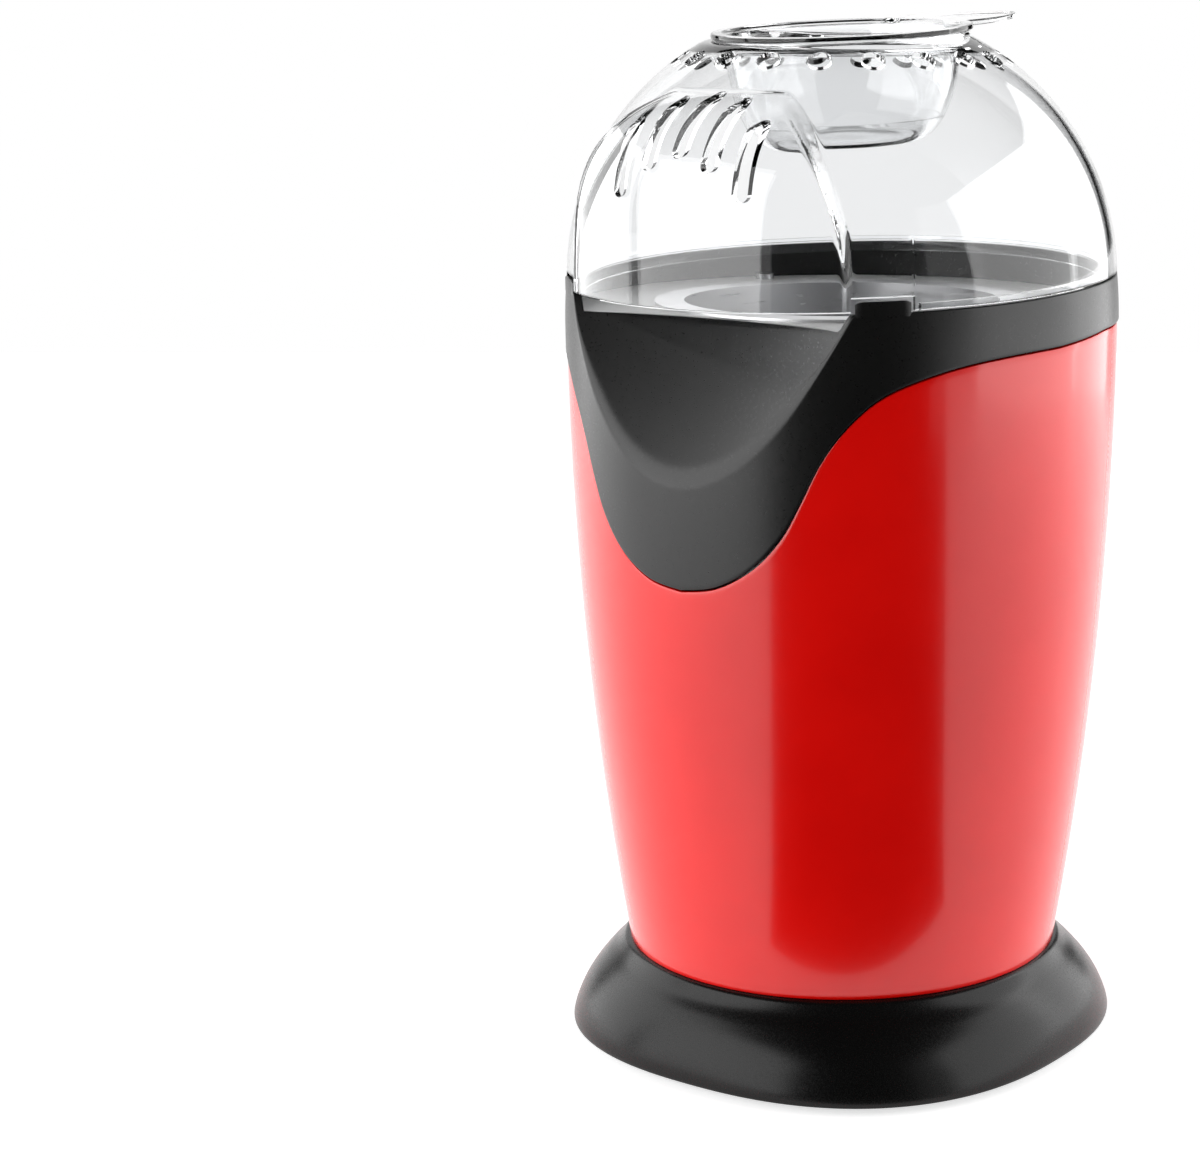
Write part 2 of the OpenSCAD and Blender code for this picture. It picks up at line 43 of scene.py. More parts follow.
# ------------------------------------------------------------------ helpers
def spline(p, n):
    """Catmull-Rom through the points p, n steps a span."""
    p = [np.array(q, float) for q in p]
    out = []
    for i in range(len(p) - 1):
        a, b, c, d = p[max(i - 1, 0)], p[i], p[i + 1], p[min(i + 2, len(p) - 1)]
        for k in range(n):
            t = k / n
            out.append(0.5 * (2 * b + (c - a) * t + (2 * a - 5 * b + 4 * c - d) * t * t + (3 * b - a - 3 * c + d) * t ** 3))
    out.append(p[-1])
    return np.array(out)


def smooth(a, b, x):
    t = np.clip((np.asarray(x, float) - a) / (b - a), 0, 1)
    return t * t * (3 - 2 * t)


def bezier(a, c, b, n):
    """n + 1 points from a to b, pulled towards the corner c."""
    a, c, b = (np.array(q, float) for q in (a, c, b))
    t = np.linspace(0, 1, n + 1)[:, None]
    return a * (1 - t) ** 2 + 2 * c * t * (1 - t) + b * t ** 2


def round_path(points, radius, n=4):
    """A path of straight runs, its corners rounded: radius is one number, or one a corner."""
    p = [np.array(q, float) for q in points]
    r = [radius] * len(p) if np.isscalar(radius) else list(radius)
    out = [p[0]]
    for i in range(1, len(p) - 1):
        u, v = p[i - 1] - p[i], p[i + 1] - p[i]
        lu, lv = np.linalg.norm(u), np.linalg.norm(v)
        d = min(r[i], lu * 0.49, lv * 0.49)
        if d < 1e-6:
            out.append(p[i])
            continue
        out.extend(bezier(p[i] + u / lu * d, p[i], p[i] + v / lv * d, n))
    out.append(p[-1])
    return np.array(out)


def build(name, verts, faces, angle=35, body="housing", material=None):
    me = bpy.data.meshes.new(name)
    me.from_pydata([tuple(v) for v in np.asarray(verts) * MM], [], faces)
    me.validate()
    bm = bmesh.new()
    bm.from_mesh(me)
    bmesh.ops.remove_doubles(bm, verts=bm.verts, dist=2e-6)
    bmesh.ops.dissolve_degenerate(bm, edges=bm.edges, dist=1e-6)
    bmesh.ops.recalc_face_normals(bm, faces=bm.faces)
    bm.to_mesh(me)
    bm.free()
    shade(me, angle)
    o = bpy.data.objects.new(name, me)
    scene.collection.objects.link(o)
    if material:
        me.materials.append(material)
    return o


def shade(me, angle=35):
    me.polygons.foreach_set("use_smooth", [True] * len(me.polygons))
    me.set_sharp_from_angle(angle=math.radians(angle))
    me.update()


def grid_faces(rows, cols, close_cols=True, close_rows=False, start=0):
    f = []
    for r in range(rows if close_rows else rows - 1):
        r2 = (r + 1) % rows
        for c in range(cols if close_cols else cols - 1):
            c2 = (c + 1) % cols
            f.append((start + r * cols + c, start + r * cols + c2, start + r2 * cols + c2, start + r2 * cols + c))
    return f


def revolve_path(path, psi):
    """Rows of points for a path of (R, z) turned round the axis at the bearings psi (radians from the front)."""
    path = np.asarray(path, float)
    R, Z = path[:, 0][:, None], path[:, 1][:, None]
    x = R * np.sin(psi)[None, :]
    y = -R * np.cos(psi)[None, :]
    z = Z + 0 * psi[None, :]
    return np.stack([x, y, z], -1)


def ring_solid(path, count=192):
    """Closed band from a closed path of (R, z)."""
    psi = np.linspace(0, 2 * math.pi, count, endpoint=False)
    g = revolve_path(path, psi)
    return g.reshape(-1, 3), grid_faces(g.shape[0], count, True, True)


def merge(*parts):
    v, f = [], []
    n = 0
    for pv, pf in parts:
        v.append(np.asarray(pv, float))
        f += [tuple(i + n for i in q) for q in pf]
        n += len(pv)
    return np.concatenate(v), f


def prism(outline, y0, y1):
    """Closed prism along Y from an outline of (x, z)."""
    n = len(outline)
    v = [(x, y0, z) for x, z in outline] + [(x, y1, z) for x, z in outline]
    f = [tuple(range(n)), tuple(range(2 * n - 1, n - 1, -1))]
    f += [(i, (i + 1) % n, n + (i + 1) % n, n + i) for i in range(n)]
    return np.array(v, float), f


def cut(obj, cutters, op="DIFFERENCE"):
    """Applies one exact boolean with a joined set of cutters."""
    v, f = merge(*cutters)
    c = build("cutter", v, f)
    m = obj.modifiers.new("cut", "BOOLEAN")
    m.operation, m.solver, m.object = op, "EXACT", c
    m.use_self = False
    dg = bpy.context.evaluated_depsgraph_get()
    me = bpy.data.meshes.new_from_object(obj.evaluated_get(dg))
    obj.modifiers.clear()
    old = obj.data
    me.name = old.name
    obj.data = me
    bpy.data.meshes.remove(old)
    cm = c.data
    bpy.data.objects.remove(c)
    bpy.data.meshes.remove(cm)


# ---------------------------------------------------------------- materials
def new_mat(name):
    m = bpy.data.materials.new(name)
    m.use_nodes = True
    nt = m.node_tree
    return m, nt, nt.nodes["Principled BSDF"]


def noise(nt, scale, detail=2.0, rough=0.5, stretch=None):
    tc = nt.nodes.new("ShaderNodeTexCoord")
    n = nt.nodes.new("ShaderNodeTexNoise")
    n.inputs["Scale"].default_value = scale
    n.inputs["Detail"].default_value = detail
    n.inputs["Roughness"].default_value = rough
    if stretch:
        mp = nt.nodes.new("ShaderNodeMapping")
        mp.inputs["Scale"].default_value = stretch
        nt.links.new(tc.outputs["Object"], mp.inputs["Vector"])
        nt.links.new(mp.outputs["Vector"], n.inputs["Vector"])
    else:
        nt.links.new(tc.outputs["Object"], n.inputs["Vector"])
    return n


def map_range(nt, src, lo, hi, a=0.3, b=0.7):
    r = nt.nodes.new("ShaderNodeMapRange")
    r.inputs["From Min"].default_value, r.inputs["From Max"].default_value = a, b
    r.inputs["To Min"].default_value, r.inputs["To Max"].default_value = lo, hi
    nt.links.new(src, r.inputs["Value"])
    return r.outputs["Result"]


def bump(nt, src, distance, strength=1.0, normal=None):
    b = nt.nodes.new("ShaderNodeBump")
    b.inputs["Strength"].default_value = strength
    b.inputs["Distance"].default_value = distance
    nt.links.new(src, b.inputs["Height"])
    if normal is not None:
        nt.links.new(normal, b.inputs["Normal"])
    return b.outputs["Normal"]


def colour_mix(nt, src, a, b, lo=0.35, hi=0.65):
    r = nt.nodes.new("ShaderNodeValToRGB")
    r.color_ramp.elements[0].position, r.color_ramp.elements[1].position = lo, hi
    r.color_ramp.elements[0].color = (*a, 1)
    r.color_ramp.elements[1].color = (*b, 1)
    nt.links.new(src, r.inputs["Fac"])
    return r.outputs["Color"]


def plastic(name, a, b, rough, grain=900.0, depth=6e-6, wave=60.0, wave_depth=3e-5, specular=0.5, coat=0.0, coat_rough=0.1):
    """Moulded plastic: faint colour flow, a fine grain and a slow ripple of the mould."""
    m, nt, p = new_mat(name)
    flow = noise(nt, 22.0, 3.0)
    nt.links.new(colour_mix(nt, flow.outputs["Fac"], a, b), p.inputs["Base Color"])
    fine = noise(nt, grain, 2.0)
    nt.links.new(map_range(nt, fine.outputs["Fac"], rough[0], rough[1]), p.inputs["Roughness"])
    slow = noise(nt, wave, 1.0)
    n1 = bump(nt, slow.outputs["Fac"], wave_depth, 1.0)
    n2 = bump(nt, fine.outputs["Fac"], depth, 1.0, n1)
    nt.links.new(n2, p.inputs["Normal"])
    p.inputs["IOR"].default_value = 1.5
    p.inputs["Specular IOR Level"].default_value = specular
    p.inputs["Coat Weight"].default_value = coat
    p.inputs["Coat Roughness"].default_value = coat_rough
    return m


def metal(name, a, b, rough, stretch=(1, 1, 1), scale=400.0, depth=4e-6):
    m, nt, p = new_mat(name)
    p.inputs["Metallic"].default_value = 1.0
    n = noise(nt, scale, 3.0, 0.6, stretch)
    tone = noise(nt, 35.0, 2.0)
    nt.links.new(colour_mix(nt, tone.outputs["Fac"], a, b), p.inputs["Base Color"])
    nt.links.new(map_range(nt, n.outputs["Fac"], rough[0], rough[1]), p.inputs["Roughness"])
    nt.links.new(bump(nt, n.outputs["Fac"], depth), p.inputs["Normal"])
    return m


def clear_plastic(name, tint, rough=0.015):
    m, nt, p = new_mat(name)
    p.inputs["Base Color"].default_value = (*tint, 1)
    p.inputs["Transmission Weight"].default_value = 1.0
    p.inputs["IOR"].default_value = 1.46
    ripple = noise(nt, 45.0, 1.0)
    nt.links.new(map_range(nt, ripple.outputs["Fac"], rough * 0.6, rough * 1.6), p.inputs["Roughness"])
    nt.links.new(bump(nt, ripple.outputs["Fac"], 4e-5), p.inputs["Normal"])
    return m


M_RED = plastic("red_gloss", (0.80, 0.0022, 0.0008), (0.88, 0.0035, 0.0015), (0.16, 0.22), 1400.0, 1.5e-6, 45.0, 2e-5, 0.5, 0.35, 0.07)
M_BLACK = plastic("black_satin", (0.003, 0.003, 0.003), (0.005, 0.005, 0.0048), (0.27, 0.35), 1500.0, 9e-6, 55.0, 3e-5, 0.5)
M_BASE = plastic("black_base", (0.002, 0.002, 0.002), (0.0035, 0.0035, 0.0034), (0.22, 0.30), 1500.0, 5e-6, 55.0, 2e-5, 0.28)
M_BLACK_GLOSS = plastic("black_switch", (0.010, 0.010, 0.011), (0.015, 0.015, 0.016), (0.22, 0.30), 1500.0, 5e-6, 90.0, 1e-5)
M_RUBBER = plastic("rubber", (0.012, 0.012, 0.012), (0.022, 0.022, 0.022), (0.62, 0.78), 1800.0, 2e-5, 120.0, 1e-5, 0.3)
M_PALE = plastic("pale_plastic", (0.80, 0.80, 0.79), (0.86, 0.86, 0.85), (0.32, 0.42), 1300.0, 6e-6, 60.0, 2e-5)
M_DARK = plastic("dark_plastic", (0.028, 0.028, 0.030), (0.045, 0.045, 0.048), (0.42, 0.55), 1300.0, 1.2e-5, 60.0, 3e-5)
M_FAN = plastic("fan_plastic", (0.66, 0.66, 0.62), (0.76, 0.76, 0.72), (0.38, 0.5), 1300.0, 8e-6, 60.0, 2e-5)
M_SILICONE = plastic("silicone", (0.46, 0.10, 0.05), (0.56, 0.14, 0.07), (0.5, 0.62), 1600.0, 1e-5, 80.0, 1e-5)
M_MICA = plastic("mica", (0.42, 0.34, 0.20), (0.70, 0.62, 0.44), (0.35, 0.65), 300.0, 2e-5, 90.0, 3e-5)
M_MAGNET = plastic("magnet", (0.05, 0.05, 0.055), (0.09, 0.09, 0.1), (0.5, 0.65), 1600.0, 1.5e-5)
M_CARBON = plastic("carbon", (0.02, 0.02, 0.02), (0.04, 0.04, 0.042), (0.45, 0.6), 1700.0, 1e-5)
M_BOARD = plastic("board_green", (0.015, 0.11, 0.04), (0.03, 0.17, 0.07), (0.3, 0.4), 900.0, 6e-6)
M_WIRE = plastic("wire_blue", (0.03, 0.08, 0.34), (0.05, 0.11, 0.42), (0.35, 0.45), 900.0, 6e-6)
M_STEEL = metal("zinc_steel", (0.50, 0.51, 0.52), (0.66, 0.67, 0.68), (0.24, 0.42), (1, 1, 0.06), 500.0)
M_ALU = metal("spun_aluminium", (0.74, 0.74, 0.75), (0.86, 0.86, 0.87), (0.26, 0.42), (0.05, 0.05, 1), 900.0)
M_COIL = metal("heater_wire", (0.28, 0.25, 0.23), (0.42, 0.38, 0.35), (0.4, 0.55))
M_LAM = metal("laminations", (0.22, 0.22, 0.24), (0.36, 0.36, 0.38), (0.4, 0.6), (0.03, 0.03, 1), 1400.0, 1e-5)
M_COPPER = metal("copper", (0.75, 0.33, 0.18), (0.86, 0.44, 0.26), (0.25, 0.4))
M_BRASS = metal("brass", (0.68, 0.48, 0.2), (0.8, 0.6, 0.3), (0.25, 0.4))
M_CLEAR = clear_plastic("clear_hood", (0.985, 0.99, 0.995), 0.012)
M_CUP = clear_plastic("clear_cup", (0.975, 0.98, 0.985), 0.018)

NODE_MAT = {
    "rubber_feet": M_RUBBER, "bottom_cover": M_BLACK, "base_screws": M_STEEL, "top_deck": M_PALE, "deck_screws": M_STEEL,
    "popping_chamber": M_ALU, "chamber_gasket": M_SILICONE, "heat_shield": M_STEEL, "shield_screws": M_STEEL,
    "mica_boards": M_MICA, "heater_coil": M_COIL, "thermal_fuse": M_PALE, "thermostat": M_DARK, "fan_housing": M_DARK,
    "housing_screws": M_STEEL, "fan_impeller": M_FAN, "motor_shaft": M_STEEL, "armature": M_LAM, "commutator": M_COPPER,
    "motor_can": M_STEEL, "motor_magnets": M_MAGNET, "motor_end_cap": M_DARK, "motor_bushes": M_BRASS,
    "carbon_brushes": M_CARBON, "motor_screws": M_STEEL, "rectifier_board": M_BOARD, "rectifier_diodes": M_DARK,
    "switch_housing": M_BLACK_GLOSS, "switch_rocker": M_BLACK_GLOSS, "switch_terminals": M_BRASS, "cord_gland": M_RUBBER,
    "cable_clamp": M_DARK, "clamp_screws": M_STEEL, "terminal_block": M_PALE, "internal_wires": M_WIRE,
    "base_skirt": M_BLACK, "body_shell": M_RED, "collar_chute": M_BLACK, "dome_hood": M_CLEAR, "measuring_cup": M_CUP,
}
for n, o in nodes.items():
    o.data.materials.clear()
    o.data.materials.append(NODE_MAT[n])

# ------------------------------------------------------------------- shapes
BARREL_R, TOP_Z, ARC, WALL, JOINT = 80.7, 215.0, 1121.0, 2.2, 28.0
COLLAR_R, CWALL = 81.2, 2.3
RIM_Z, RIM_T = 228.9, math.tan(math.radians(2.5))
SCOOP_M, SCOOP_Y, SCOOP_Z, SCOOP_H = math.tan(math.radians(60.5)), -80.4, 180.0, 47.8
DECK = 221.0


def barrel_at(z):
    return BARREL_R - (ARC - np.sqrt(ARC ** 2 - (np.asarray(z, float) - TOP_Z) ** 2))


def collar_at(z):
    z = np.asarray(z, float)
    return np.where(z < TOP_Z, barrel_at(z) + COLLAR_R - BARREL_R, COLLAR_R - (150 - np.sqrt(150 ** 2 - (z - TOP_Z) ** 2)))


# --- base -------------------------------------------------------------
FLARE = spline([(66.2, 28), (69.0, 24.4), (72.6, 20.9), (76.6, 16.4), (79.8, 11.6), (82.0, 6.8), (82.9, 3.6), (82.7, 2.0)], 6)
BASE_HALF, BASE_CORNER = 78.5, 1.057


def base_point(R, z, psi):
    q = 1 + (BASE_CORNER - 1) * np.clip((JOINT - z) / (JOINT - 2.0), 0, 1) ** 0.8
    q = np.maximum(q, 1.00001)
    n = 1 / (0.5 - np.log2(q))
    pr = 1 / (np.abs(np.cos(psi)) ** n + np.abs(np.sin(psi)) ** n) ** (1 / n)
    return R / q * pr


def base_skirt():
    psi = np.linspace(0, 2 * math.pi, 288, endpoint=False)
    outer = [tuple(p) for p in FLARE[:-3]]
    path = [(50, 25.6), (50, 28), (60.2, 28), (60.2, 31.4), (62.3, 31.4), (62.3, 28.0), (65.7, 28.0)]
    path = list(round_path(path, 0.25, 2)) + [(66.05, 27.8)] + outer[1:]
    path += list(bezier((82.93, 3.4), (82.9, 2.0), (81.6, 2.0), 5)) + [(80.6, 2.0)]
    inner = [(R - 3.1, z) for R, z in FLARE[:-4:2][::-1] if z < 24.0]
    path += [(79.8, 2.4)] + inner + [(64.4, 24.8), (63.2, 25.6)]
    path = np.array(path)
    R, Z = path[:, 0][:, None], path[:, 1][:, None]
    rr = np.where((R > 64) & (Z < 27.95), base_point(R, Z, psi[None, :]), R + 0 * psi[None, :])
    g = np.stack([rr * np.sin(psi), -rr * np.cos(psi), Z + 0 * psi[None, :]], -1)
    parts = [(g.reshape(-1, 3), grid_faces(len(path), len(psi), True, True))]
    for a in (20, 160, 200, 340):
        c = np.array([58 * math.cos(math.radians(a)), 58 * math.sin(math.radians(a)), 0])
        bv, bf = ring_solid([(1.6, 5.7), (4.2, 5.7), (4.2, 25.8), (1.6, 25.8)], 32)
        parts.append((bv + c, bf))
    v, f = merge(*parts)
    o = build("base_skirt_shell", v, f, 40, material=M_BASE)
    shade(o.data, 40)
    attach(o, "housing")
    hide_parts("base_skirt")
    return o


# --- edge line between collar and barrel -------------------------------
TONGUE = spline([(0, 148), (11.5, 150), (22.5, 156.2), (30.5, 165), (35.5, 174.5), (40.5, 185.5), (46, 194.5), (53.5, 203), (62, 208.3), (73, 212.6), (90, 216.2)], 12)
BACK = spline([(0, 218), (40, 217.6), (66, 216.8), (90, 216.2)], 12)


def edge_table():
    ang, zz = [], []
    for x, z in TONGUE:
        R = float(collar_at(z))
        if x < R:
            ang.append(math.degrees(math.asin(x / R)))
            zz.append(z)
    for x, z in BACK[::-1]:
        R = float(collar_at(z))
        if x < R:
            ang.append(180 - math.degrees(math.asin(x / R)))
            zz.append(z)
    return np.array(ang), np.array(zz)


EDGE_A, EDGE_Z = edge_table()


def edge_z(psi):
    a = np.abs((np.degrees(psi) + 180) % 360 - 180)
    return np.interp(a, EDGE_A, EDGE_Z)


def columns(fine, half, coarse):
    """Bearings round the axis, fine within half degrees of the front."""
    a = np.arange(-half, half + 1e-6, fine)
    rest = np.linspace(half, 360 - half, int((360 - 2 * half) / coarse) + 1)[1:-1]
    return np.radians(np.concatenate([a, rest]))


def body_shell():
    psi = columns(0.75, 96, 1.5)
    top = edge_z(psi) - 0.55
    rows = []
    # outside from the joint up to the edge, then the wall's edge and the inside
    def row(z, dR):
        R = barrel_at(z) - dR
        rows.append(np.stack([R * np.sin(psi), -R * np.cos(psi), z + 0 * psi], -1))
    one = np.ones_like(psi)
    row(28.45 * one, 0.9)
    row(28.12 * one, 0.45)
    row(28.22 * one, 0.12)
    row(28.55 * one, 0.0)
    for t in np.linspace(0, 1, 96)[1:-1]:
        row(28.55 + (top - 0.45 - 28.55) * t, 0.0)
    row(top - 0.45, 0.0)
    row(top - 0.12, 0.08)
    row(top - 0.0, 0.4)
    row(top - 0.0, WALL - 0.2)
    row(top - 0.3, WALL)
    for t in np.linspace(0, 1, 24)[1:]:
        row(top - 0.3 + (28.45 - top + 0.3) * t, WALL)
    g = np.array(rows)
    v, f = g.reshape(-1, 3), grid_faces(len(rows), len(psi), True, True)
    o = build("barrel_shell", v, f, 40, material=M_RED)
    # raised flat behind the switch
    def rounded(hx, hz, r, n=6):
        pts = []
        for cx, cz, a0 in ((hx - r, hz - r, 0), (-hx + r, hz - r, 90), (-hx + r, -hz + r, 180), (hx - r, -hz + r, 270)):
            for k in range(n + 1):
                a = math.radians(a0 + 90 * k / n)
                pts.append((cx + r * math.cos(a), 62 + cz + r * math.sin(a)))
        return pts
    pad = []
    for inset, y in ((0, 66.8), (0, 71.5), (0.12, 72.0), (0.45, 72.33), (0.9, 72.4)):
        pad.append([(x, y, z) for x, z in rounded(14 - inset, 11 - inset, 3.0 - inset * 0.5)])
    n = len(pad[0])
    pv = np.array([p for ring in pad for p in ring])
    pf = [tuple(range(n))[::-1], tuple(range((len(pad) - 1) * n, len(pad) * n))] + grid_faces(len(pad), n)
    cut(o, [(pv, pf)], "UNION")
    hole = prism(rounded(9.5, 7.6, 0.6), 50, 90)
    cut(o, [hole])
    shade(o.data, 38)
    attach(o, "housing")
    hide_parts("body_shell")
    return o


# --- collar and scoop -------------------------------------------------------
def trough(R, psi):
    x, y = R * np.sin(psi), -R * np.cos(psi)
    t = SCOOP_Z + SCOOP_M * (y - SCOOP_Y) + 18.2 * (x / SCOOP_H) ** 2
    front = np.cos(psi) > 0.2
    return np.where(front, t, 400.0)


def rim(R, psi):
    return RIM_Z - RIM_T * R * np.cos(psi)


def top_surface(R, psi):
    a, b, k = trough(R, psi), rim(R, psi), 1.6
    h = np.clip(0.5 + 0.5 * (b - a) / k, 0, 1)
    return np.minimum(b * (1 - h) + a * h - k * h * (1 - h), np.minimum(a, b) + 0)


def collar():
    psi = columns(0.6, 60, 2.0)
    m = len(psi)
    zc = np.full(m, 225.0)
    for _ in range(60):
        zc = 0.5 * zc + 0.5 * top_surface(collar_at(zc), psi)
    # inner end of the scoop's floor
    lo, hi = np.full(m, 30.0), collar_at(zc)
    for _ in range(40):
        mid = (lo + hi) / 2
        up = top_surface(mid, psi) > DECK + 0.3
        lo, hi = np.where(up, mid, lo), np.where(up, hi, mid)
    Rc = collar_at(zc)
    in_scoop = smooth(0, 9, DECK + 0.3 - zc)
    Re = np.where(zc < DECK + 0.3, np.minimum(hi, Rc - CWALL), Rc - CWALL)
    lip = 0.02 + 2.4 * in_scoop
    zb = edge_z(psi)
    aa = np.abs((np.degrees(psi) + 180) % 360 - 180)
    crease = 0.55 + 2.6 * (1 - smooth(22, 36, aa))
    rows = []

    def put(R, z):
        rows.append(np.stack([R * np.sin(psi), -R * np.cos(psi), z + 0 * psi], -1))

    put(collar_at(zb) - CWALL, zb + 0.2)
    put(collar_at(zb) - CWALL + 0.3, zb)
    put(collar_at(zb) - 0.55, zb)
    put(collar_at(zb) - 0.15, zb + 0.1)
    put(collar_at(zb), zb + 0.5)
    z1 = zc - crease
    for t in np.linspace(0, 1, 44)[1:]:
        z = zb + 0.5 + (z1 - zb - 0.5) * t
        put(collar_at(z), z)
    # rounded crease
    R2 = Rc - crease * np.where(aa < 36, 0.62, 1.0)
    Z2 = top_surface(R2, psi)
    R1, Z1 = collar_at(z1), z1
    for t in np.linspace(0, 1, 9)[1:]:
        put(R1 * (1 - t) ** 2 + 2 * t * (1 - t) * Rc + R2 * t * t, Z1 * (1 - t) ** 2 + 2 * t * (1 - t) * zc + Z2 * t * t)
    R3 = np.minimum(Re + 0.5, R2 - 0.05)
    for t in np.linspace(0, 1, 30)[1:]:
        R = R2 + (R3 - R2) * t
        put(R, top_surface(R, psi))
    zr = top_surface(R3, psi)
    ze = np.where(zc < DECK + 0.3, np.minimum(DECK + 0.3, zr + 0.5), zr)
    put(Re, ze - 0.02)
    put(Re - 0.3 * in_scoop, ze - 0.02)
    put(Re - lip, ze - 0.15)
    put(Re - lip - 0.15 * in_scoop, ze - 0.6)
    Rq = collar_at(np.maximum(zc - 5, zb + 0.3)) - CWALL
    zq = np.where(zc < DECK, np.maximum(top_surface(Rq, psi) - CWALL / math.cos(math.radians(60.5)), zb + 1.0), zc - 5)
    zq = np.minimum(zq, ze - 1.2)
    for t in np.linspace(0, 1, 9)[1:]:
        put(Re - lip - 0.15 * in_scoop + (Rq - Re + lip + 0.15 * in_scoop) * t, ze - 0.6 + (zq - ze + 0.6) * t)
    for t in np.linspace(0, 1, 9)[1:-1]:
        z = zq + (zb + 0.2 - zq) * t
        put(collar_at(z) - CWALL, z)
    g = np.array(rows)
    parts = [(g.reshape(-1, 3), grid_faces(len(rows), m, True, True))]
    # catches on the rim
    for s in (-1, 1):
        a = np.radians(s * np.linspace(36.95, 47.7, 15))
        sec = []
        for cx, cz, a0 in ((1.05, 1.0, 0), (-1.05, 1.0, 90), (-1.05, -1.0, 180), (1.05, -1.0, 270)):
            pass
        loops = []
        for i, p in enumerate(a):
            e = min(i, len(a) - 1 - i)
            top = 3.25 - (0.55 if e == 0 else 0.12 if e == 1 else 0)
            r0, r1 = 79.0 + (0.3 if e == 0 else 0), 81.05 - (0.3 if e == 0 else 0)
            base = RIM_Z - RIM_T * 80 * math.cos(p)
            path = [(r0, -1.0), (r0, top - 0.5), (r0 + 0.15, top - 0.12), (r0 + 0.5, top), (r1 - 0.5, top), (r1 - 0.15, top - 0.12), (r1, top - 0.5), (r1, -1.0)]
            loops.append([(R * math.sin(p), -R * math.cos(p), base + z) for R, z in path])
        n = len(loops[0])
        v = np.array([q for l in loops for q in l])
        f = grid_faces(len(loops), n, True, False)
        f += [tuple(range(n)), tuple(range((len(loops) - 1) * n, len(loops) * n))[::-1]]
        parts.append((v, f))
    v, f = merge(*parts)
    o = build("collar_scoop", v, f, 38, material=M_BLACK)
    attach(o, "housing")
    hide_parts("collar_chute")
    return o


# --- hood -------------------------------------------------------------------
DOME_ARC, DOME_Z, HOOD_W = 77.8, 228.0, 2.0
SEAT_Z, SEAT_T = 298.0, math.tan(math.radians(4))


def seat(R, psi):
    return SEAT_Z - SEAT_T * R * np.cos(psi)


def visor_R(z, d):
    t = np.clip((z - 224) / (65 - d), 0, 1)
    return (COLLAR_R - d) * np.clip(1 - t ** 5, 0, None) ** (1 / 3)


def hood_R(Rd, z, psi, d):
    """Radius of the hood's side, d inside the outer face: the visor stands out of the dome."""
    Rv = visor_R(z, d)
    x = np.maximum(Rv, Rd) * np.sin(psi)
    h, half = 61 - d, SCOOP_H - d
    t = np.clip((z - 226) / h, 0, 2)
    g = 1 - t ** 2.6 - (x / half) ** 2
    gx, gz = 2 * x / half ** 2, 2.6 / h * t ** 1.6
    dist = g / np.sqrt(gx ** 2 + gz ** 2 + 1e-9)
    w = smooth(-1.1, 1.1, dist) * (np.cos(psi) > 0)
    return Rd + w * np.maximum(Rv - Rd, 0)


